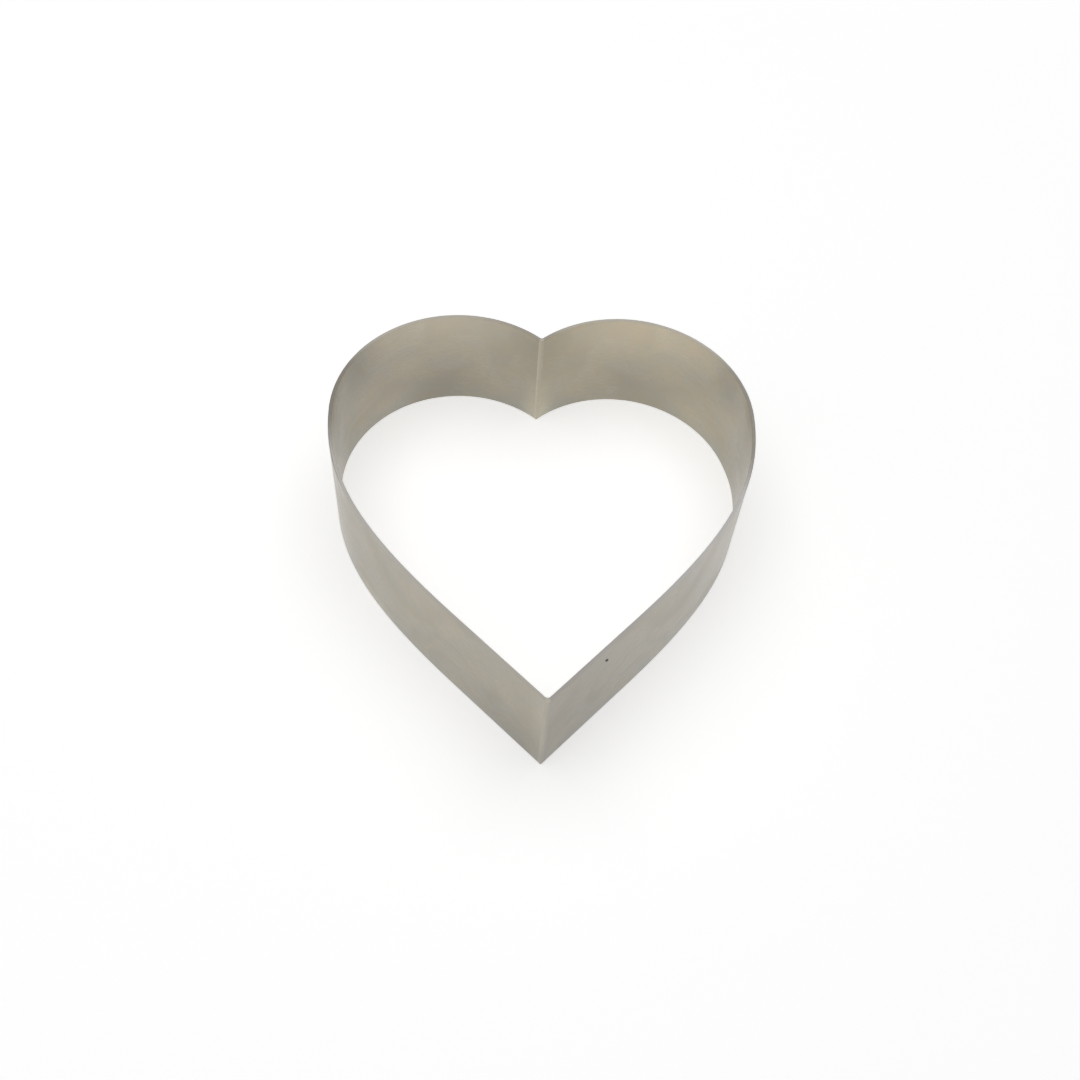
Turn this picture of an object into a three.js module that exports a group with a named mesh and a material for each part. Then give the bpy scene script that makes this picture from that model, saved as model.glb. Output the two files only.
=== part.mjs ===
// Heart cake ring: two rolled stainless strips, welded to each other at the cleft and at the point.
// Millimetres, +Z up. The origin is on the table, under the middle of the outline's length and width.
// The point of the heart is towards -Y, the two lobes are towards +Y.
import * as THREE from 'three';

// Outside of the ring
const ringWidth = 148;
const ringLength = 156.5;
const wallHeight = 45;

// Strip, with its long edges deburred to a small radius
const wallThickness = 1.2;
const edgeRadius = 0.2;

// Outline: the angle between the flanks at the point, the straight stretch of each flank,
// how far the shoulder curve swells towards its corner, and the cleft below the tops of the lobes
const pointAngle = THREE.MathUtils.degToRad(90);
const flankStraight = 40;
const shoulderFullness = 0.75;
const cleftDepth = 10.8;

// Corner seams: the strips' near edges stand this far apart, a bead fills the groove between their ends,
// and the bead's own corner is dressed to a small radius
const seamGap = 0.4;
const beadClearance = 0.02;
const dressedRadius = 0.4;

// Facets
const bandSteps = 96;
const edgeSegments = 1;
const beadSegments = 5;

// Each half of the heart runs on the middle of its strip: flank, shoulder, lobe.
// A lobe is one arc. It is upright at the widest place and crosses the middle plane at the cleft,
// so its radius follows from the width and the depth of the cleft.
const middleWidth = ringWidth - wallThickness;
const lobeRadius = middleWidth / 2 + cleftDepth - Math.sqrt(middleWidth * cleftDepth);
const lobeCentre = new THREE.Vector2(
  middleWidth / 2 - lobeRadius,
  ringLength / 2 - wallThickness / 2 - lobeRadius,
);

// The lobe ends where the outer edge of its square-cut end is half a seam gap from the middle plane
const lobeOuterRadius = lobeRadius + wallThickness / 2;
const lobeEnd = Math.acos((seamGap / 2 - lobeCentre.x) / lobeOuterRadius);

// The strips' ends at a corner lie on two planes that cross in a line on the middle plane.
// A bead fits between those ends, and its faces run straight on from the strips' faces to its dressed corner.
// The half angle of a corner is measured from the middle plane to the strip.
const pointHalfAngle = pointAngle / 2;
const cleftHalfAngle = Math.PI - lobeEnd;

// From that line to the near edge of a strip's end, to its face, and to the middle of the dressed radius
function rootReach(halfAngle) {
  return seamGap / 2 / Math.cos(halfAngle);
}

function faceReach(halfAngle) {
  return rootReach(halfAngle) + wallThickness;
}

function dressedReach(halfAngle) {
  return (faceReach(halfAngle) - dressedRadius) / Math.sin(halfAngle);
}

const pointLineY = dressedReach(pointHalfAngle) + dressedRadius - ringLength / 2;
const cleftRootY = lobeCentre.y + lobeOuterRadius * Math.sin(lobeEnd);
const cleftLineY = cleftRootY + rootReach(cleftHalfAngle) * Math.sin(cleftHalfAngle);

// Middle line of the right-hand strip, from the point to the cleft
function halfHeart() {
  const alongFlank = new THREE.Vector2(Math.sin(pointHalfAngle), Math.cos(pointHalfAngle));
  const outOfFlank = new THREE.Vector2(Math.cos(pointHalfAngle), -Math.sin(pointHalfAngle));
  const start = new THREE.Vector2(0, pointLineY);
  start.addScaledVector(outOfFlank, faceReach(pointHalfAngle) - wallThickness / 2);
  const flankEnd = start.clone().addScaledVector(alongFlank, flankStraight);
  const widest = new THREE.Vector2(lobeCentre.x + lobeRadius, lobeCentre.y);

  // The shoulder's handles lie on the flank and on the upright at the widest place, towards their corner
  const cornerReach = (widest.x - start.x) / alongFlank.x;
  const corner = start.clone().addScaledVector(alongFlank, cornerReach);
  const flankHandle = flankEnd.clone().lerp(corner, shoulderFullness);
  const lobeHandle = widest.clone().lerp(corner, shoulderFullness);

  const line = new THREE.Path();
  line.moveTo(start.x, start.y);
  line.lineTo(flankEnd.x, flankEnd.y);
  line.bezierCurveTo(flankHandle.x, flankHandle.y, lobeHandle.x, lobeHandle.y, widest.x, widest.y);
  line.absarc(lobeCentre.x, lobeCentre.y, lobeRadius, 0, lobeEnd);
  return line;
}

// The middle line at half the wall's height, on the right where side is 1 and mirrored where it is -1
class StripLine extends THREE.Curve {
  constructor(line, side) {
    super();
    this.line = line;
    this.side = side;
  }

  getPoint(t, target = new THREE.Vector3()) {
    const place = this.line.getPoint(t);
    return target.set(this.side * place.x, place.y, wallHeight / 2);
  }
}

// Cross-section of the strip, its height along X and its thickness along Y, with rounded corners
function stripSection() {
  const halfHeight = wallHeight / 2 - edgeRadius;
  const halfThickness = wallThickness / 2 - edgeRadius;
  const quarter = Math.PI / 2;
  const section = new THREE.Shape();
  section.absarc(halfHeight, halfThickness, edgeRadius, 0, quarter);
  section.absarc(-halfHeight, halfThickness, edgeRadius, quarter, 2 * quarter);
  section.absarc(-halfHeight, -halfThickness, edgeRadius, 2 * quarter, 3 * quarter);
  section.absarc(halfHeight, -halfThickness, edgeRadius, 3 * quarter, 4 * quarter);
  return section;
}

// Satin steel, cut square at both ends and rolled on edge to half of the heart
function band(name, side) {
  const geometry = new THREE.ExtrudeGeometry(stripSection(), {
    steps: bandSteps,
    curveSegments: edgeSegments,
    extrudePath: new StripLine(halfHeart(), side),
  });
  const satinSteel = new THREE.MeshStandardMaterial({ color: 0xa6a091, roughness: 0.42, metalness: 1 });
  const mesh = new THREE.Mesh(geometry, satinSteel);
  mesh.name = name;
  return mesh;
}

// Weld metal in the groove of a corner, dressed to its radius and to the start of the rims' rounded edges
function weld(name, halfAngle, lineY) {
  const alongStrip = new THREE.Vector2(Math.sin(halfAngle), Math.cos(halfAngle));
  const outOfStrip = new THREE.Vector2(Math.cos(halfAngle), -Math.sin(halfAngle));
  const root = outOfStrip.clone().multiplyScalar(rootReach(halfAngle));
  root.addScaledVector(alongStrip, -beadClearance);
  const face = outOfStrip.clone().multiplyScalar(faceReach(halfAngle));
  face.addScaledVector(alongStrip, -beadClearance);

  const section = new THREE.Shape();
  section.absarc(0, -dressedReach(halfAngle), dressedRadius, -halfAngle, halfAngle - Math.PI, true);
  section.lineTo(-face.x, face.y);
  section.lineTo(-root.x, root.y);
  section.lineTo(root.x, root.y);
  section.lineTo(face.x, face.y);

  const geometry = new THREE.ExtrudeGeometry(section, {
    depth: wallHeight - 2 * edgeRadius,
    curveSegments: beadSegments,
    bevelEnabled: false,
  });
  const dressedWeld = new THREE.MeshStandardMaterial({ color: 0xb0a998, roughness: 0.34, metalness: 1 });
  const mesh = new THREE.Mesh(geometry, dressedWeld);
  mesh.name = name;
  mesh.position.set(0, lineY, edgeRadius);
  return mesh;
}

const heartCakeRing = new THREE.Group();
heartCakeRing.add(band('right_band', 1));
heartCakeRing.add(band('left_band', -1));
heartCakeRing.add(weld('point_weld', pointHalfAngle, pointLineY));
heartCakeRing.add(weld('cleft_weld', cleftHalfAngle, cleftLineY));

export default heartCakeRing;
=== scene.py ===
import math

import bpy
import numpy as np
from mathutils import Matrix, Vector


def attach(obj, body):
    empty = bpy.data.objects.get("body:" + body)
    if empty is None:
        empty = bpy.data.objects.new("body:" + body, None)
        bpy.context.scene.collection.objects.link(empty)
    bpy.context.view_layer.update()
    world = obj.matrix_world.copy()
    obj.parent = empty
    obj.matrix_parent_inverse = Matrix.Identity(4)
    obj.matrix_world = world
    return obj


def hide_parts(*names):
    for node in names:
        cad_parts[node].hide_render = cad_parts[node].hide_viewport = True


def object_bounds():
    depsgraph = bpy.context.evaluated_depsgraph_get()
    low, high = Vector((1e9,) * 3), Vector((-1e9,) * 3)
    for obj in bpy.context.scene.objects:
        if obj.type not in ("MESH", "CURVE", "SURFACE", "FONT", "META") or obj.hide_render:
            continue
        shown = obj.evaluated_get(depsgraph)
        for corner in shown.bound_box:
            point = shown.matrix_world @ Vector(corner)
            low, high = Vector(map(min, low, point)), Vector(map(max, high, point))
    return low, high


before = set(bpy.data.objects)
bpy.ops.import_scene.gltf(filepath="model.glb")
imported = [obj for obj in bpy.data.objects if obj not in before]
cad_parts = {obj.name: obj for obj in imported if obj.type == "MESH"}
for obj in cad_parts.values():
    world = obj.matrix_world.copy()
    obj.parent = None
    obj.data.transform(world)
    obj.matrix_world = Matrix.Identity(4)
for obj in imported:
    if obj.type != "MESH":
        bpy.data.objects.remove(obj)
cadLow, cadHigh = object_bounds()
ringWidth = cadHigh.x - cadLow.x
ringLength = cadHigh.y - cadLow.y
wallHeight = cadHigh.z - cadLow.z
print("frame loaded:", ", ".join(sorted(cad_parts)))

# outline of the strip's middle line, in metres and radians
heartOutline = {
    "wall": 0.0012,
    "pointAngle": math.radians(90),
    "flankStraight": 0.040,
    "shoulderFullness": 0.75,  # how far the shoulder swells towards its corner
    "cleftDepth": 0.0108,
    "seamGap": 0.0004,
    "dressedRadius": 0.0004,  # the corner of a fused seam
    "edgeRadius": 0.0002,  # the rims' rounded edges
    "edgeSegments": 4,
    "fineSteps": 800,  # in each stretch of the line, before it is spaced evenly
}
wall = heartOutline["wall"]
seamGap = heartOutline["seamGap"]
dressedRadius = heartOutline["dressedRadius"]
edgeRadius = heartOutline["edgeRadius"]
edgeSegments = heartOutline["edgeSegments"]
edgeTurns = [math.pi / 2 * k / edgeSegments for k in range(edgeSegments + 1)]


def polar(radius, angle):
    return np.array([radius * math.cos(angle), radius * math.sin(angle)])


# distance of each place from the first one, along the line through them
def runningLength(places):
    return np.concatenate([[0.0], np.cumsum(np.linalg.norm(np.diff(places, axis=0), axis=1))])


# a lobe is one arc, upright at the widest place, which ends half a seam gap from the middle plane
def lobeShape():
    middleWidth = ringWidth - wall
    cleftDepth = heartOutline["cleftDepth"]
    radius = middleWidth / 2 + cleftDepth - math.sqrt(middleWidth * cleftDepth)
    centre = np.array([middleWidth / 2 - radius, ringLength / 2 - wall / 2 - radius])
    outer = radius + wall / 2
    end = math.acos((seamGap / 2 - centre[0]) / outer)
    return {"radius": radius, "centre": centre, "outer": outer, "end": end}


# a corner seam: the strips' end planes cross in a line, and from there it is so far to their near edges,
# to their faces and to the middle of the dressed radius
def cornerSeam(halfAngle, rootY=None):
    root = seamGap / 2 / math.cos(halfAngle)
    face = root + wall
    dressed = (face - dressedRadius) / math.sin(halfAngle)
    lineY = dressed + dressedRadius - ringLength / 2
    if rootY is not None:
        lineY = rootY + root * math.sin(halfAngle)
    line = np.array([0.0, lineY])
    dressedMiddle = line - [0.0, dressed]
    return {"halfAngle": halfAngle, "root": root, "face": face, "line": line, "dressed": dressedMiddle}


lobe = lobeShape()
pointSeam = cornerSeam(heartOutline["pointAngle"] / 2)
cleftSeam = cornerSeam(math.pi - lobe["end"], lobe["centre"][1] + lobe["outer"] * math.sin(lobe["end"]))


# the right half's middle line as evenly spaced places, with the direction out of the heart at each
def heartLine(steps):
    fullness = heartOutline["shoulderFullness"]
    fine = np.linspace(0.0, 1.0, heartOutline["fineSteps"] + 1)[:, None]
    half = pointSeam["halfAngle"]
    alongFlank = np.array([math.sin(half), math.cos(half)])
    start = pointSeam["line"] + polar(pointSeam["face"] - wall / 2, -half)
    flankEnd = start + heartOutline["flankStraight"] * alongFlank
    widest = lobe["centre"] + np.array([lobe["radius"], 0.0])
    corner = start + alongFlank * (widest[0] - start[0]) / alongFlank[0]
    flankHandle = flankEnd + fullness * (corner - flankEnd)
    lobeHandle = widest + fullness * (corner - widest)

    flank = start + fine * (flankEnd - start)
    shoulder = (
        (1 - fine) ** 3 * flankEnd
        + 3 * (1 - fine) ** 2 * fine * flankHandle
        + 3 * (1 - fine) * fine ** 2 * lobeHandle
        + fine ** 3 * widest
    )
    heading = (
        (1 - fine) ** 2 * (flankHandle - flankEnd)
        + 2 * (1 - fine) * fine * (lobeHandle - flankHandle)
        + fine ** 2 * (widest - lobeHandle)
    )
    turn = fine[:, 0] * lobe["end"]
    arc = lobe["centre"] + lobe["radius"] * np.column_stack([np.cos(turn), np.sin(turn)])

    places = np.vstack([flank, shoulder[1:], arc[1:]])
    angles = np.concatenate([
        np.full(len(flank), math.pi / 2 - half),
        np.arctan2(heading[1:, 1], heading[1:, 0]),
        math.pi / 2 + turn[1:],
    ])
    along = runningLength(places)
    even = np.linspace(0.0, along[-1], steps + 1)
    x = np.interp(even, along, places[:, 0])
    y = np.interp(even, along, places[:, 1])
    angle = np.interp(even, along, angles)
    return even, np.column_stack([x, y]), np.column_stack([np.sin(angle), -np.cos(angle)])


sharpFrom = math.radians(50)  # edges that turn further than this are shaded sharp
finishMap = "finish"


# meshes come from rings of points: each ring is one closed section, the rings are joined,
# and the first and last are closed by the faces of the cap, given as places in a ring
def ringsToMesh(name, rings, cap, flip):
    count = len(rings[0])
    vertices = [tuple(point) for ring in rings for point in ring]
    last = (len(rings) - 1) * count
    faces = []
    for low in range(0, last, count):
        high = low + count
        for k in range(count):
            after = (k + 1) % count
            faces.append([low + k, low + after, high + after, high + k])
    for face in cap:
        faces.append(face[::-1])
        faces.append([last + k for k in face])
    if flip:
        faces = [face[::-1] for face in faces]
    mesh = bpy.data.meshes.new(name)
    mesh.from_pydata(vertices, [], faces)
    mesh.polygons.foreach_set("use_smooth", [True] * len(faces))
    mesh.set_sharp_from_angle(angle=sharpFrom)
    mesh.update()
    return mesh


# distances round a closed section, at each of its places and all the way round
def sectionGirth(section):
    girth = runningLength(section)
    return girth, girth[-1] + np.linalg.norm(section[0] - section[-1])


# one map for the finish: x runs along the rings, y round the section, both in metres
def addFinishMap(mesh, ringPlaces, section):
    count = len(section)
    girth, closing = sectionGirth(section)
    layer = mesh.uv_layers.new(name=finishMap)
    for face in mesh.polygons:
        corners = [mesh.loops[i].vertex_index for i in face.loop_indices]
        wraps = {corner % count for corner in corners} == {0, count - 1}
        for i, corner in zip(face.loop_indices, corners):
            across = closing if wraps and corner % count == 0 else girth[corner % count]
            layer.data[i].uv = (ringPlaces[corner // count], across)


def showPiece(name, mesh, material, node):
    piece = bpy.data.objects.new(name, mesh)
    bpy.context.scene.collection.objects.link(piece)
    mesh.materials.append(material)
    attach(piece, "root")
    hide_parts(node)


# shader helpers
mixFirst, mixSecond, mixResult = 6, 7, 2  # a mix node's colour sockets, which share their names with others
plainTint = (1.0, 1.0, 1.0)


def addNode(tree, kind, inputs=None, **settings):
    node = tree.nodes.new(kind)
    for name, value in settings.items():
        setattr(node, name, value)
    for socket, value in (inputs or {}).items():
        if isinstance(value, bpy.types.NodeSocket):
            tree.links.new(value, node.inputs[socket])
        else:
            node.inputs[socket].default_value = value
    return node


def maths(tree, operation, first, second=0.0, clamp=False):
    node = addNode(tree, "ShaderNodeMath", {0: first, 1: second}, operation=operation, use_clamp=clamp)
    return node.outputs[0]


# a value with so much of the mask added
def withMask(tree, value, mask, amount, clamp=False):
    return maths(tree, "ADD", value, maths(tree, "MULTIPLY", mask, amount), clamp)


def distance(tree, value, place):
    return maths(tree, "ABSOLUTE", maths(tree, "SUBTRACT", value, place))


def ramp(tree, value, low, high, toLow=0.0, toHigh=1.0):
    inputs = {"Value": value, "From Min": low, "From Max": high, "To Min": toLow, "To Max": toHigh}
    return addNode(tree, "ShaderNodeMapRange", inputs, interpolation_type="SMOOTHSTEP").outputs["Result"]


def splitPlace(tree, place):
    return addNode(tree, "ShaderNodeSeparateXYZ", {0: place}).outputs


def vectorLength(tree, vector):
    return addNode(tree, "ShaderNodeVectorMath", {0: vector}, operation="LENGTH").outputs["Value"]


def inSpace(tree):
    return addNode(tree, "ShaderNodeTexCoord").outputs["Object"]


# a colour as a colour socket takes it
def opaque(colour):
    return colour if isinstance(colour, bpy.types.NodeSocket) else (*colour, 1.0)


def mixColour(tree, factor, first, second):
    inputs = {"Factor": factor, mixFirst: opaque(first), mixSecond: opaque(second)}
    return addNode(tree, "ShaderNodeMix", inputs, data_type="RGBA").outputs[mixResult]


def tinted(tree, colour, tint):
    return addNode(tree, "ShaderNodeVectorMath", {0: colour, 1: tint}, operation="MULTIPLY").outputs[0]


def shaded(tree, colour, shade):
    return addNode(tree, "ShaderNodeVectorMath", {0: colour, "Scale": shade}, operation="SCALE").outputs[0]


# a place divided by a length and a width, so that noise is as long and wide as that
def stretched(tree, place, lengthwise, crosswise):
    split = splitPlace(tree, place)
    x = maths(tree, "DIVIDE", split["X"], lengthwise)
    y = maths(tree, "DIVIDE", split["Y"], crosswise)
    return addNode(tree, "ShaderNodeCombineXYZ", {0: x, 1: y}).outputs[0]


def noise(tree, place, detail, roughness=0.5, distortion=0.0):
    node = addNode(tree, "ShaderNodeTexNoise", {
        "Vector": place, "Scale": 1.0, "Detail": detail, "Roughness": roughness, "Distortion": distortion,
    }, noise_dimensions="2D")
    return node.outputs["Fac"]


# every group takes a place, and its other inputs and its outputs are numbers
def startGroup(name, inputs, outputs):
    group = bpy.data.node_groups.new(name, "ShaderNodeTree")
    group.interface.new_socket(name="Place", in_out="INPUT", socket_type="NodeSocketVector")
    for socketName in inputs:
        group.interface.new_socket(name=socketName, in_out="INPUT", socket_type="NodeSocketFloat")
    for socketName in outputs:
        group.interface.new_socket(name=socketName, in_out="OUTPUT", socket_type="NodeSocketFloat")
    return group, group.nodes.new("NodeGroupInput").outputs, group.nodes.new("NodeGroupOutput").inputs


def useGroup(tree, group, inputs):
    return addNode(tree, "ShaderNodeGroup", inputs, node_tree=group).outputs


# fine rolled or ground lines: streak is their length and pitch their spacing, in metres
grainLines = {
    "fineShare": 0.75,
    "wideShare": 0.25,
    "wideStreak": 2.2,  # times the streak of the fine lines
    "widePitch": 7.0,  # times their pitch
    "contrast": (0.3, 0.7),
}


def buildSteelGrain():
    tree, given, result = startGroup("steelGrain", ["Streak", "Pitch"], ["Tone", "Height"])
    place, streak, pitch = given["Place"], given["Streak"], given["Pitch"]
    fineLines = noise(tree, stretched(tree, place, streak, pitch), detail=3.0, roughness=0.62)
    wideStreak = maths(tree, "MULTIPLY", streak, grainLines["wideStreak"])
    widePitch = maths(tree, "MULTIPLY", pitch, grainLines["widePitch"])
    wideLines = noise(tree, stretched(tree, place, wideStreak, widePitch), detail=2.0)
    fineShare = maths(tree, "MULTIPLY", fineLines, grainLines["fineShare"])
    both = withMask(tree, fineShare, wideLines, grainLines["wideShare"])
    tree.links.new(ramp(tree, both, *grainLines["contrast"]), result["Tone"])
    tree.links.new(fineLines, result["Height"])
    return tree


# what handling leaves: soft smudges, a drift of tint and a few thin scratches
handling = {
    "smudgeContrast": (0.38, 0.72),
    "tintSize": 0.36,  # times the size of the smudges
    "tintContrast": (0.3, 0.7),
    "scratchLine": 0.5,  # scratches follow this level of their noise
    "scratchWidth": 0.012,  # to each side of that level
    "scratchPatch": (0.006, 0.004),  # length and width of the patches that hold scratches
    "scratchContrast": (0.58, 0.7),
    "scratches": [  # each set is turned from the strip's length by so many radians
        {"turn": 0.21, "length": 0.021, "spacing": 0.0016},
        {"turn": -0.55, "length": 0.014, "spacing": 0.0019},
        {"turn": 1.1, "length": 0.009, "spacing": 0.0023},
    ],
}


def thinScratches(tree, place, scratch):
    turned = addNode(
        tree, "ShaderNodeVectorRotate", {"Vector": place, "Angle": scratch["turn"]}, rotation_type="Z_AXIS"
    ).outputs[0]
    lines = noise(tree, stretched(tree, turned, scratch["length"], scratch["spacing"]), detail=0.0)
    fromLine = distance(tree, lines, handling["scratchLine"])
    thin = ramp(tree, fromLine, 0.0, handling["scratchWidth"], 1.0, 0.0)
    sparse = noise(tree, stretched(tree, turned, *handling["scratchPatch"]), detail=1.0)
    return maths(tree, "MULTIPLY", thin, ramp(tree, sparse, *handling["scratchContrast"]))


def buildHandlingMarks():
    tree, given, result = startGroup("handlingMarks", ["Smudge size"], ["Smudge", "Tint", "Scratch"])
    place, size = given["Place"], given["Smudge size"]
    cloud = noise(tree, stretched(tree, place, size, size), detail=4.0, roughness=0.55, distortion=0.7)
    tree.links.new(ramp(tree, cloud, *handling["smudgeContrast"]), result["Smudge"])
    tintSize = maths(tree, "MULTIPLY", size, handling["tintSize"])
    drift = noise(tree, stretched(tree, place, tintSize, tintSize), detail=2.0, distortion=0.4)
    tree.links.new(ramp(tree, drift, *handling["tintContrast"]), result["Tint"])
    scratches = 0.0
    for scratch in handling["scratches"]:
        scratches = maths(tree, "MAXIMUM", thinScratches(tree, place, scratch), scratches)
    tree.links.new(scratches, result["Scratch"])
    return tree


# worn edges that also carry painted highlight and painted shade: a mask that fades over width from the edge
# and breaks up a little
edgeMaskShape = {
    "breakUp": (0.004, 0.0008),  # length and width
    "contrast": (0.3, 0.7),
    "reach": (0.45, 1.25),  # times the width
}


def buildEdgeWear():
    tree, given, result = startGroup("edgeWear", ["Edge distance", "Width"], ["Wear"])
    breakUp = noise(tree, stretched(tree, given["Place"], *edgeMaskShape["breakUp"]), detail=3.0)
    share = ramp(tree, breakUp, *edgeMaskShape["contrast"], *edgeMaskShape["reach"])
    reach = maths(tree, "MULTIPLY", given["Width"], share)
    away = maths(tree, "DIVIDE", given["Edge distance"], reach)
    tree.links.new(ramp(tree, away, 0.0, 1.0, 1.0, 0.0), result["Wear"])
    return tree


steelGrain = buildSteelGrain()
handlingMarks = buildHandlingMarks()
edgeWear = buildEdgeWear()
print("shared finishes built")


# a new steel material, with the place on its finish map, its grain and its marks
def startSteel(name, look):
    material = bpy.data.materials.new(name)
    material.use_nodes = True
    tree = material.node_tree
    place = addNode(tree, "ShaderNodeUVMap", uv_map=finishMap).outputs[0]
    grain = useGroup(tree, steelGrain, {
        "Place": place, "Streak": look["grainStreak"], "Pitch": look["grainPitch"],
    })
    marks = useGroup(tree, handlingMarks, {"Place": place, "Smudge size": look["smudgeSize"]})
    return material, place, grain, marks


def finishSteel(material, look, colour, roughness, depth):
    tree = material.node_tree
    shader = tree.nodes["Principled BSDF"]
    shader.inputs["Metallic"].default_value = 1.0
    bump = addNode(tree, "ShaderNodeBump", {
        "Height": depth, "Strength": look["bumpStrength"], "Distance": look["grainDepth"],
    })
    tree.links.new(colour, shader.inputs["Base Color"])
    tree.links.new(roughness, shader.inputs["Roughness"])
    tree.links.new(bump.outputs[0], shader.inputs["Normal"])
    return material


# shade of the grain and of the smudges on it
def grainShade(tree, look, grain, marks):
    tone = look["grainTone"]
    shade = ramp(tree, grain["Tone"], 0.0, 1.0, 1.0 - tone, 1.0 + tone)
    return withMask(tree, shade, marks["Smudge"], -look["smudgeTone"])


rimFull = edgeRadius / 4  # the rim's own colour is full from this far below the top


# 1 on the flat of the upper rim, fading over its rounded edges
def upperRim(tree, height):
    return ramp(tree, height, wallHeight - edgeRadius, wallHeight - rimFull)


# the two rolled strips
rolledStrip = {
    "steps": 236,  # about a millimetre each
    "faceRows": 14,
    "supportGap": 0.00006,  # keeps the shading of the faces flat up to the rounded edge
    "insideFade": 0.0005,  # over the rim, from the outer face's colour to the inner face's
    "warmTint": (1.02, 1.0, 0.975),
    "coolTint": (0.98, 1.0, 1.025),
    "footTint": (0.962, 1.0, 1.045),
    "footReach": 0.009,
    "smudgeTone": 0.04,
    "smudgeRoughness": 0.05,
    "smudgeSize": 0.026,
    "scratchTone": 0.04,
    "scratchDepth": 0.5,  # times the grain's
    "roughness": (0.25, 0.31),
    "grainStreak": 0.014,
    "grainPitch": 0.00012,
    "grainDepth": 0.000003,
    "grainTone": 0.018,
    "bumpStrength": 0.35,
    "edgeReach": 0.0003,
    # painted highlight and painted shade of the outer and inner edges along the flank, round the lobe's side
    # and over the lobe:
    # lighter above 0, darker below
    "outerEdge": (0.05, -0.5, -0.2),
    "innerEdge": (0.0, 0.02, 0.12),
    "sideStarts": (0.097, 0.114),  # along the strip
    "sideEnds": (0.165, 0.195),
}

# each strip's own colours, soft patches of painted shade and painted light in place of what its faces
# reflect, and the pit in the right flank; the rim's colour at the point is followed by its changes along the
# strip as (from, to, colour), painted lighter and darker in place of what the rim reflects
rightMarks = {
    "outsideColour": (0.362, 0.334, 0.279),
    "insideColour": (0.398, 0.363, 0.29),
    "rimShadingAtPoint": (0.345, 0.328, 0.306),
    "rimShadingChanges": [
        (0.0, 0.095, (0.478, 0.466, 0.45)),
        (0.1, 0.122, (0.29, 0.272, 0.238)),
        (0.15, 0.175, (0.44, 0.41, 0.354)),
        (0.222, 0.237, (0.335, 0.31, 0.265)),
    ],
    "outsideShadingPatches": [
        {"along": 0.0, "height": 0.02, "reach": (0.06, 0.09), "tint": (0.80, 0.795, 0.785)},
        {"along": 0.024, "height": 0.0, "reach": (0.03, 0.008), "tint": (0.94, 0.95, 0.965)},
        {"along": 0.05, "height": 0.044, "reach": (0.017, 0.014), "tint": (1.07, 1.07, 1.06)},
        {"along": 0.09, "height": 0.045, "reach": (0.029, 0.032), "tint": (1.115, 1.12, 1.165)},
    ],
    "insideShadingPatches": [
        {"along": 0.132, "height": 0.012, "reach": (0.025, 0.026), "tint": (0.77, 0.77, 0.77)},
        {"along": 0.17, "height": 0.025, "reach": (0.018, 0.013), "tint": (0.93, 0.93, 0.945)},
        {"along": 0.156, "height": 0.036, "reach": (0.014, 0.017), "tint": (0.85, 0.86, 0.88)},
        {"along": 0.17, "height": 0.006, "reach": (0.018, 0.016), "tint": (1.09, 1.09, 1.08)},
        {"along": 0.198, "height": 0.013, "reach": (0.022, 0.014), "tint": (0.92, 0.92, 0.94)},
        {"along": 0.2, "height": 0.045, "reach": (0.05, 0.024), "tint": (1.28, 1.24, 1.19)},
        {"along": 0.236, "height": 0.034, "reach": (0.022, 0.03), "tint": (0.91, 0.895, 0.86)},
        {"along": 0.236, "height": 0.0, "reach": (0.008, 0.026), "tint": (1.27, 1.27, 1.24)},
    ],
    "pit": {
        "along": 0.0258,
        "height": 0.0372,
        "reach": (0.0011, 0.0012),
        "slope": -1.0,  # it leans by this much height for each length along
        "core": 0.5,  # share of the reach that is darkest
        "colour": (0.03, 0.027, 0.022),
        "roughness": 0.3,  # added to the strip's
        "depth": 6.0,  # times the grain's
    },
    "sprungFoot": {"along": 0.13, "reach": 0.019, "out": 0.0008},
}
leftMarks = {
    "outsideColour": (0.367, 0.336, 0.274),
    "insideColour": (0.384, 0.351, 0.286),
    "rimShadingAtPoint": (0.395, 0.372, 0.33),
    "rimShadingChanges": [
        (0.02, 0.1, (0.45, 0.433, 0.404)),
        (0.11, 0.136, (0.238, 0.22, 0.19)),
        (0.15, 0.178, (0.43, 0.402, 0.35)),
        (0.205, 0.232, (0.335, 0.31, 0.265)),
    ],
    "outsideShadingPatches": [
        {"along": 0.0, "height": 0.03, "reach": (0.006, 0.09), "tint": (1.1, 1.1, 1.1)},
        {"along": 0.008, "height": 0.002, "reach": (0.038, 0.03), "tint": (0.79, 0.795, 0.805)},
        {"along": 0.05, "height": 0.044, "reach": (0.026, 0.022), "tint": (1.12, 1.11, 1.11)},
        {"along": 0.06, "height": 0.025, "reach": (0.017, 0.014), "tint": (1.06, 1.06, 1.045)},
        {"along": 0.096, "height": 0.02, "reach": (0.026, 0.022), "tint": (0.885, 0.885, 0.87)},
        {"along": 0.086, "height": 0.001, "reach": (0.019, 0.009), "tint": (1.2, 1.21, 1.23)},
    ],
    "insideShadingPatches": [
        {"along": 0.142, "height": 0.018, "reach": (0.025, 0.027), "tint": (0.80, 0.80, 0.79)},
        {"along": 0.17, "height": 0.025, "reach": (0.016, 0.012), "tint": (0.93, 0.93, 0.945)},
        {"along": 0.16, "height": 0.038, "reach": (0.018, 0.021), "tint": (0.80, 0.815, 0.84)},
        {"along": 0.198, "height": 0.009, "reach": (0.025, 0.02), "tint": (0.88, 0.88, 0.88)},
        {"along": 0.203, "height": 0.046, "reach": (0.046, 0.021), "tint": (1.245, 1.235, 1.225)},
        {"along": 0.178, "height": 0.005, "reach": (0.018, 0.013), "tint": (1.07, 1.07, 1.09)},
        {"along": 0.236, "height": 0.034, "reach": (0.022, 0.03), "tint": (0.93, 0.915, 0.88)},
        {"along": 0.236, "height": 0.0, "reach": (0.008, 0.026), "tint": (1.27, 1.27, 1.24)},
    ],
}


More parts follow.
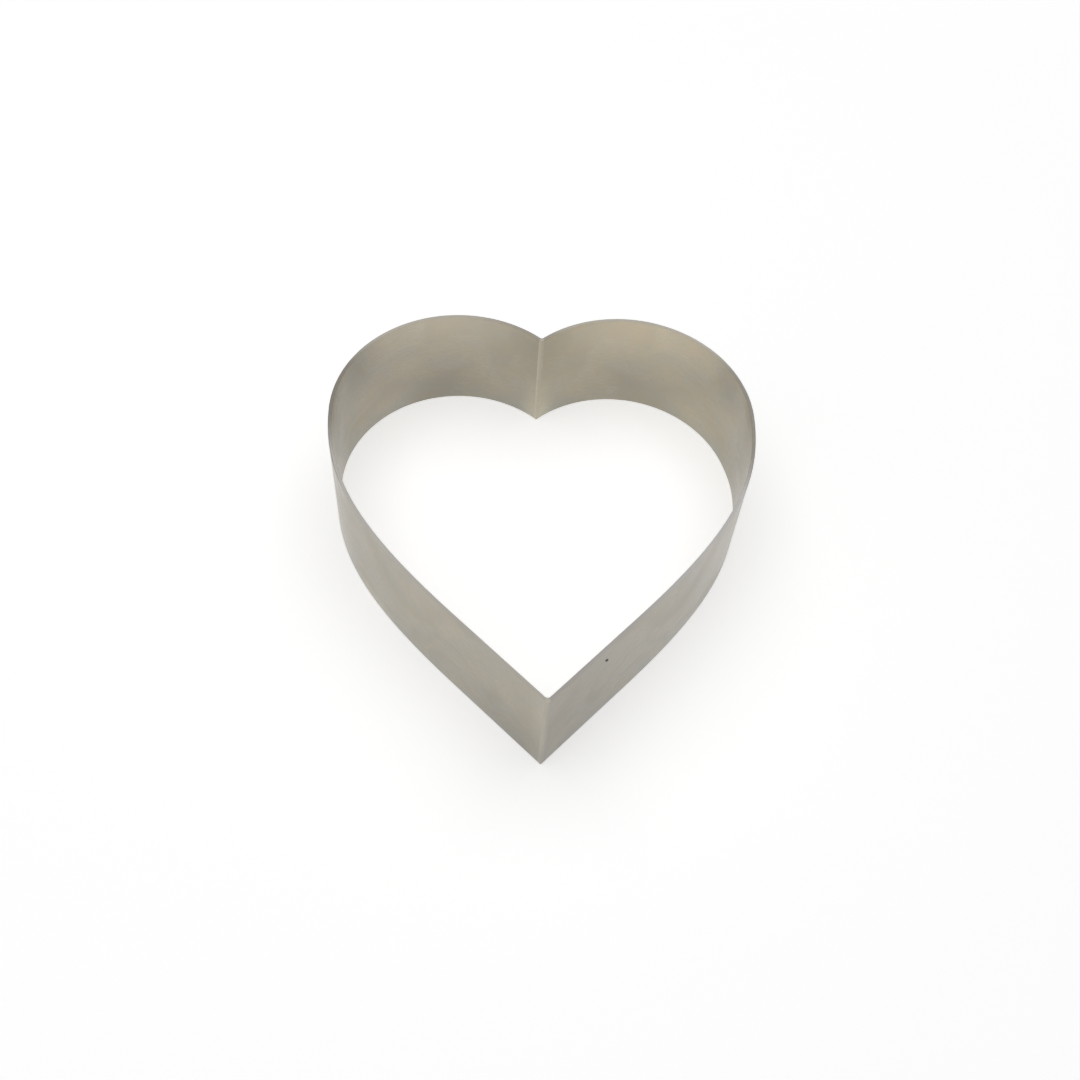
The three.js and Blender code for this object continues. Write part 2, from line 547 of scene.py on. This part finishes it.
# places round the strip's section as (offset out of the heart, height), from the foot of the outer face
def stripSection():
    gap = rolledStrip["supportGap"]
    rows = np.linspace(edgeRadius + gap, wallHeight - edgeRadius - gap, rolledStrip["faceRows"] + 1)
    faceHeights = [edgeRadius, *rows, wallHeight - edgeRadius]
    face = wall / 2
    flat = face - edgeRadius
    top = wallHeight - edgeRadius
    turns = [(edgeRadius * math.cos(turn), edgeRadius * math.sin(turn)) for turn in edgeTurns[1:-1]]
    section = [(face, z) for z in faceHeights]
    section += [(flat + near, top + far) for near, far in turns]
    section += [(flat, wallHeight), (-flat, wallHeight)]
    section += [(-flat - far, top + near) for near, far in turns]
    section += [(-face, z) for z in faceHeights[::-1]]
    section += [(-flat - near, edgeRadius - far) for near, far in turns]
    section += [(-flat, 0.0), (flat, 0.0)]
    section += [(flat + far, edgeRadius - near) for near, far in turns]
    return np.array(section)


# how far the strip's foot has sprung out of line at each place along it
def footSpring(along, sprungFoot):
    away = np.clip((along - sprungFoot["along"]) / sprungFoot["reach"], -1.0, 1.0)
    return sprungFoot["out"] * np.cos(math.pi / 2 * away) ** 2


def rollStrip(name, side, ownMarks, material):
    along, places, outwards = heartLine(rolledStrip["steps"])
    section = stripSection()
    springs = footSpring(along, ownMarks["sprungFoot"]) if "sprungFoot" in ownMarks else np.zeros(len(along))
    towardsFoot = 1.0 - section[:, 1:] / wallHeight
    rings = []
    for place, outward, spring in zip(places, outwards, springs):
        plan = place + (section[:, :1] + spring * towardsFoot) * outward
        rings.append(np.column_stack([side * plan[:, 0], plan[:, 1], section[:, 1]]))
    mesh = ringsToMesh(name, rings, [list(range(len(section)))], flip=side > 0)
    addFinishMap(mesh, along, section)
    showPiece(name + "_rolled", mesh, material, name)
    print(name, "rolled:", round(along[-1] * 1000, 1), "mm long")


# a soft oval on the strip: 1 in its middle, or all over its core if it has one, and 0 at its reach
def softOval(tree, along, height, oval):
    ahead = maths(tree, "SUBTRACT", along, oval["along"])
    above = maths(tree, "SUBTRACT", height, oval["height"])
    if "slope" in oval:
        above = withMask(tree, above, ahead, -oval["slope"])
    acrossX = maths(tree, "DIVIDE", ahead, oval["reach"][0])
    acrossZ = maths(tree, "DIVIDE", above, oval["reach"][1])
    away = vectorLength(tree, addNode(tree, "ShaderNodeCombineXYZ", {0: acrossX, 1: acrossZ}).outputs[0])
    return ramp(tree, away, oval.get("core", 0.0), 1.0, 1.0, 0.0)


# painted shade and painted light: each soft patch multiplies the colour by its tint, darker below 1 and
# lighter above
def withPaintedShading(tree, along, height, colour, patches):
    for patch in patches:
        spread = softOval(tree, along, height, patch)
        colour = tinted(tree, colour, mixColour(tree, spread, plainTint, patch["tint"]))
    return colour


# the upper rim's colour changes along the strip as painted reflection and painted shade
def paintedRimShading(tree, along, ownMarks):
    colour = ownMarks["rimShadingAtPoint"]
    for start, end, after in ownMarks["rimShadingChanges"]:
        colour = mixColour(tree, ramp(tree, along, start, end), colour, after)
    return colour


# distances round the section to the middles of its outer and inner rounded edges, upper and lower
def edgePlaces(closing):
    quarter = math.pi / 2 * edgeRadius
    face = wallHeight - 2 * edgeRadius
    outer = (face + quarter / 2, closing - quarter / 2)
    inner = (closing / 2 - quarter / 2, closing / 2 + face + quarter / 2)
    return outer, inner


# what a pair of edges adds to the shade, with its tones on the flank, round the side and over the lobe:
# painted highlight where a tone is above 0 and painted shade where it is below
def edgeShade(tree, place, along, girth, edges, tones):
    strip = rolledStrip
    flank, side, lobeTop = tones
    toEdges = [distance(tree, girth, edge) for edge in edges]
    wearAndShading = useGroup(tree, edgeWear, {
        "Place": place, "Edge distance": maths(tree, "MINIMUM", *toEdges), "Width": strip["edgeReach"],
    })["Wear"]
    tone = ramp(tree, along, *strip["sideStarts"], flank, side)
    overLobe = ramp(tree, along, *strip["sideEnds"], 0.0, lobeTop - side)
    return maths(tree, "MULTIPLY", wearAndShading, maths(tree, "ADD", tone, overLobe))


def satinSteel(name, ownMarks):
    strip = rolledStrip
    material, place, grain, marks = startSteel(name, strip)
    tree = material.node_tree
    along, girth = splitPlace(tree, place)[:2]
    height = splitPlace(tree, inSpace(tree))["Z"]
    closing = sectionGirth(stripSection())[1]
    outerEdges, innerEdges = edgePlaces(closing)

    # each face has its own colour and patches of painted shade and painted light, a soft drift and a cooler
    # foot, and the rim's painted shading changes along it
    inside = ramp(tree, girth, closing / 2 - strip["insideFade"], closing / 2)
    outer = withPaintedShading(tree, along, height, ownMarks["outsideColour"], ownMarks["outsideShadingPatches"])
    inner = withPaintedShading(tree, along, height, ownMarks["insideColour"], ownMarks["insideShadingPatches"])
    colour = mixColour(tree, inside, outer, inner)
    colour = tinted(tree, colour, mixColour(tree, marks["Tint"], strip["warmTint"], strip["coolTint"]))
    foot = ramp(tree, height, 0.0, strip["footReach"], 1.0, 0.0)
    colour = tinted(tree, colour, mixColour(tree, foot, plainTint, strip["footTint"]))
    colour = mixColour(tree, upperRim(tree, height), colour, paintedRimShading(tree, along, ownMarks))

    shade = grainShade(tree, strip, grain, marks)
    shade = withMask(tree, shade, marks["Scratch"], -strip["scratchTone"])
    # painted highlight and painted shade along the rounded edges
    for edges, tones in ((outerEdges, strip["outerEdge"]), (innerEdges, strip["innerEdge"])):
        shade = maths(tree, "ADD", shade, edgeShade(tree, place, along, girth, edges, tones))
    colour = shaded(tree, colour, shade)

    roughness = ramp(tree, grain["Tone"], 0.0, 1.0, *strip["roughness"])
    roughness = withMask(tree, roughness, marks["Smudge"], strip["smudgeRoughness"])
    depth = withMask(tree, grain["Height"], marks["Scratch"], -strip["scratchDepth"])
    if "pit" in ownMarks:
        pit = ownMarks["pit"]
        pitMask = maths(tree, "SUBTRACT", softOval(tree, along, height, pit), inside, clamp=True)
        colour = mixColour(tree, pitMask, colour, pit["colour"])
        roughness = withMask(tree, roughness, pitMask, pit["roughness"], clamp=True)
        depth = withMask(tree, depth, pitMask, -pit["depth"])
    return finishSteel(material, strip, colour, roughness, depth)


rollStrip("right_band", 1, rightMarks, satinSteel("rightSatinSteel", rightMarks))
rollStrip("left_band", -1, leftMarks, satinSteel("leftSatinSteel", leftMarks))

# the fused seams at the point and at the cleft
fusedSeam = {
    "rows": 90,
    "arcSteps": 10,
    "flatSteps": 3,  # along each straight side of the face
    "ripple": 0.00003,
    "ripplePitch": 0.0009,
    "ridgeCore": 0.2,  # share of the dressed line's reach that is brightest
    "rootColour": (0.35, 0.317, 0.262),
    "rootStart": 0.4,  # of the wall, in front of the line where the strips' end planes cross
    "rootFade": 0.0004,
    "rootRoughness": 0.08,  # added to the seam's
    "rimColour": (0.402, 0.374, 0.318),
    # the seams' edges are worn and made lighter by a painted highlight
    "edgeTone": 0.1,
    "edgeReach": 0.0003,
    "roughness": (0.24, 0.3),
    "grainStreak": 0.006,
    "grainPitch": 0.00012,
    "grainDepth": 0.000004,
    "grainTone": 0.03,
    "bumpStrength": 0.4,
    "smudgeTone": 0.05,
    "smudgeSize": 0.02,
}

# each seam's root, which runs so far up each strip in the concave corner, and its colours
# to the left and right of its corner and on its dressed line, above and at the foot: at the point the left
# side is painted lighter than the right, the dressed line carries a painted highlight, and towards the foot
# the point is painted darker and the cleft lighter, as painted shade and painted light
pointFinishAndShading = {
    "rootLeg": 0.0009,
    "left": ((0.396, 0.364, 0.298), (0.316, 0.293, 0.243)),
    "right": ((0.296, 0.276, 0.232), (0.268, 0.251, 0.212)),
    "ridgeHighlight": ((0.396, 0.364, 0.298), (0.352, 0.326, 0.27)),
    "footHeight": 0.02,
    "ridgeAt": -0.0003,
    "ridgeReach": 0.0009,
}
cleftFinishAndShading = {
    "rootLeg": 0.0005,
    "left": ((0.38, 0.347, 0.275), (0.49, 0.449, 0.359)),
    "right": ((0.386, 0.352, 0.278), (0.49, 0.449, 0.359)),
    "ridgeHighlight": ((0.465, 0.423, 0.334), (0.525, 0.481, 0.384)),
    "footHeight": 0.026,
    "ridgeAt": -0.0008,
    "ridgeReach": 0.0008,
}


# plan of a seam, drawn back by inset all round where the rims round off
def seamPlan(seam, rootLeg, inset, swell):
    half = seam["halfAngle"]
    flatSteps = fusedSeam["flatSteps"]
    mirror = np.array([-1.0, 1.0])
    turns = np.linspace(-half, half - math.pi, fusedSeam["arcSteps"] + 1)
    corner = seam["line"] + polar(seam["root"] + inset, -half)
    leg = corner + rootLeg * np.array([math.sin(half), math.cos(half)])
    rootRadius = leg[0] / math.cos(half)
    rootCentre = np.array([0.0, leg[1] + rootRadius * math.sin(half)])
    edge = seam["line"] + polar(seam["face"] - inset, -half)
    arc = [seam["dressed"] + polar(dressedRadius - inset, turn) for turn in turns]
    flat = [edge + k / flatSteps * (arc[0] - edge) for k in range(flatSteps)]
    face = flat + arc + [place * mirror for place in flat[::-1]]
    # the root's fillet swells between the strips and meets them flush
    root = []
    for turn in turns[::-1]:
        middle = math.sin(math.pi * (turn + half) / (2 * half - math.pi))
        root.append(rootCentre + polar(rootRadius - swell * middle, turn))
    return np.array(face + [corner * mirror] + root + [corner])


# a seam's end is closed in rungs across its face, then at its tip, its neck and its root
def seamCap():
    arc = fusedSeam["arcSteps"] + 1
    face = 2 * fusedSeam["flatSteps"] + arc
    count = face + arc + 2  # the root's arc lies between two corners
    middle = face // 2
    rungs = [[k, k + 1, face - 2 - k, face - 1 - k] for k in range(middle - 1)]
    tip = [middle - 1, middle, middle + 1]
    neck = [0, face - 1, face, count - 1]
    return [*rungs, tip, neck, list(range(face, count))]


def fuseSeam(name, seam, finish, material):
    # levels as (inset, height): the lower rounded edge, the straight rows and the upper rounded edge
    rounded = [(edgeRadius * (1 - math.sin(turn)), edgeRadius * (1 - math.cos(turn))) for turn in edgeTurns]
    rows = np.linspace(edgeRadius, wallHeight - edgeRadius, fusedSeam["rows"])[1:-1]
    levels = rounded + [(0.0, z) for z in rows] + [(inset, wallHeight - z) for inset, z in rounded[::-1]]
    rings = []
    for inset, z in levels:
        swell = fusedSeam["ripple"] * (1.0 + math.cos(2 * math.pi * z / fusedSeam["ripplePitch"]))
        plan = seamPlan(seam, finish["rootLeg"], inset, swell)
        rings.append(np.column_stack([plan, np.full(len(plan), z)]))
    mesh = ringsToMesh(name, rings, seamCap(), flip=True)
    addFinishMap(mesh, [z for inset, z in levels], rings[len(rounded)])
    showPiece(name + "_fused", mesh, material, name)


def dressedSeam(name, seam, finish):
    material, place, grain, marks = startSteel(name, fusedSeam)
    tree = material.node_tree
    x, y, height = splitPlace(tree, inSpace(tree))
    fromTop = maths(tree, "SUBTRACT", wallHeight, height)
    edgeDistance = maths(tree, "MAXIMUM", maths(tree, "MINIMUM", height, fromTop), 0.0)
    wearAndShading = useGroup(tree, edgeWear, {
        "Place": place, "Edge distance": edgeDistance, "Width": fusedSeam["edgeReach"],
    })["Wear"]

    # the line of the corner carries a painted highlight, one side and the foot carry painted shading,
    # and the root in the concave corner is darker and rougher
    onRight = ramp(tree, x, -dressedRadius, dressedRadius)
    foot = ramp(tree, height, 0.0, finish["footHeight"], 1.0, 0.0)
    left, right, ridgeHighlightColour = [mixColour(tree, foot, *finish[part]) for part in ("left", "right", "ridgeHighlight")]
    colour = mixColour(tree, onRight, left, right)
    reach = finish["ridgeReach"]
    fromRidge = distance(tree, x, finish["ridgeAt"])
    ridgeHighlight = ramp(tree, fromRidge, fusedSeam["ridgeCore"] * reach, reach, 1.0, 0.0)
    colour = mixColour(tree, ridgeHighlight, colour, ridgeHighlightColour)
    rootStart = seam["line"][1] - fusedSeam["rootStart"] * wall
    rootCorner = ramp(tree, y, rootStart, rootStart + fusedSeam["rootFade"])
    colour = mixColour(tree, rootCorner, colour, fusedSeam["rootColour"])
    colour = mixColour(tree, upperRim(tree, height), colour, fusedSeam["rimColour"])

    shade = grainShade(tree, fusedSeam, grain, marks)
    # worn edges with a painted highlight
    shade = withMask(tree, shade, wearAndShading, fusedSeam["edgeTone"])
    roughness = ramp(tree, grain["Tone"], 0.0, 1.0, *fusedSeam["roughness"])
    roughness = withMask(tree, roughness, rootCorner, fusedSeam["rootRoughness"])
    return finishSteel(material, fusedSeam, shaded(tree, colour, shade), roughness, grain["Height"])


fuseSeam("point_weld", pointSeam, pointFinishAndShading, dressedSeam("pointSeamSteel", pointSeam, pointFinishAndShading))
fuseSeam("cleft_weld", cleftSeam, cleftFinishAndShading, dressedSeam("cleftSeamSteel", cleftSeam, cleftFinishAndShading))
print("seams fused")

# pale floor that stays white around the ring and keeps its shadow
paleFloor = {
    "size": 40.0,
    "drop": 0.00004,
    "colour": (0.9, 0.9, 0.9),
    "lift": (0.515, 1.0),  # near the ring, and far away where the lamps don't reach
    "liftFrom": 0.3,
    "liftTo": 2.0,
}


# 1 on rays that show a surface, from the camera or in a reflection, and 0 on rays that only light one
def seenRay(tree):
    rays = addNode(tree, "ShaderNodeLightPath").outputs
    seen = maths(tree, "MAXIMUM", rays["Is Camera Ray"], rays["Is Glossy Ray"])
    return maths(tree, "MAXIMUM", seen, rays["Is Transmission Ray"])


def floorPaint():
    material = bpy.data.materials.new("paleFloor")
    material.use_nodes = True
    tree = material.node_tree
    tree.nodes.remove(tree.nodes["Principled BSDF"])
    away = vectorLength(tree, inSpace(tree))
    lift = ramp(tree, away, paleFloor["liftFrom"], paleFloor["liftTo"], *paleFloor["lift"])
    glow = addNode(tree, "ShaderNodeEmission", {"Strength": maths(tree, "MULTIPLY", seenRay(tree), lift)})
    paint = addNode(tree, "ShaderNodeBsdfDiffuse", {"Color": (*paleFloor["colour"], 1.0)})
    both = addNode(tree, "ShaderNodeAddShader", {0: paint.outputs[0], 1: glow.outputs[0]})
    tree.links.new(both.outputs[0], tree.nodes["Material Output"].inputs["Surface"])
    return material


def layFloor():
    half = paleFloor["size"] / 2
    mesh = bpy.data.meshes.new("floor")
    plan = ((-half, -half), (half, -half), (half, half), (-half, half))
    mesh.from_pydata([(x, y, -paleFloor["drop"]) for x, y in plan], [], [(0, 1, 2, 3)])
    mesh.materials.append(floorPaint())
    floor = bpy.data.objects.new("floor", mesh)
    bpy.context.scene.collection.objects.link(floor)


layFloor()
print("floor laid")

# soft studio light
studioLight = {
    "backdrop": 1.0,  # white, as the camera and the steel see it
    "sky": 0.0,  # what it adds to the light on the floor
    "panels": [
        {"name": "topPanel", "place": (0.0, 0.28, 1.58), "size": 2.0, "power": 16.5},
        {"name": "leftPanel", "place": (-0.98, -0.57, 1.13), "size": 2.0, "power": 4.8},
        {"name": "rightPanel", "place": (0.98, 0.57, 1.13), "size": 2.0, "power": 1.2},
    ],
}


def lightStudio():
    world = bpy.data.worlds.new("studioSky")
    bpy.context.scene.world = world
    world.use_nodes = True
    tree = world.node_tree
    sky = tree.nodes["Background"]
    strength = ramp(tree, seenRay(tree), 0.0, 1.0, studioLight["sky"], studioLight["backdrop"])
    tree.links.new(strength, sky.inputs["Strength"])
    sky.inputs["Color"].default_value = (1.0, 1.0, 1.0, 1.0)
    for panel in studioLight["panels"]:
        lamp = bpy.data.lights.new(panel["name"], "AREA")
        lamp.shape = "SQUARE"
        lamp.size = panel["size"]
        lamp.energy = panel["power"]
        holder = bpy.data.objects.new(panel["name"], lamp)
        holder.location = panel["place"]
        holder.rotation_euler = (-Vector(panel["place"])).to_track_quat("-Z", "Y").to_euler()
        holder.visible_glossy = False  # the steel shows the white floor and backdrop, not the panels
        bpy.context.scene.collection.objects.link(holder)


lightStudio()
print("studio lit")

# camera where the photograph was taken from
photoCamera = {
    "place": (-0.02207, -0.25655, 0.40591),
    "yaw": math.radians(4.912),
    "pitch": math.radians(56.595),  # down from level
    "roll": math.radians(5.082),
    "lens": 44.304,
    "sensor": 36.0,
}


def setCamera():
    yaw, pitch, roll = photoCamera["yaw"], photoCamera["pitch"], photoCamera["roll"]
    flat = math.cos(pitch)
    forward = Vector((math.sin(yaw) * flat, math.cos(yaw) * flat, -math.sin(pitch)))
    right = Vector((math.cos(yaw), -math.sin(yaw), 0.0))
    up = right.cross(forward)
    turnedRight = math.cos(roll) * right + math.sin(roll) * up
    turnedUp = math.cos(roll) * up - math.sin(roll) * right
    data = bpy.data.cameras.new("photoCamera")
    data.lens = photoCamera["lens"]
    data.sensor_width = photoCamera["sensor"]
    camera = bpy.data.objects.new("photoCamera", data)
    turn = Matrix((turnedRight, turnedUp, -forward)).transposed()
    camera.matrix_world = Matrix.Translation(Vector(photoCamera["place"])) @ turn.to_4x4()
    bpy.context.scene.collection.objects.link(camera)
    bpy.context.scene.camera = camera


setCamera()
bpy.context.scene.view_settings.view_transform = "Standard"
print("camera set")
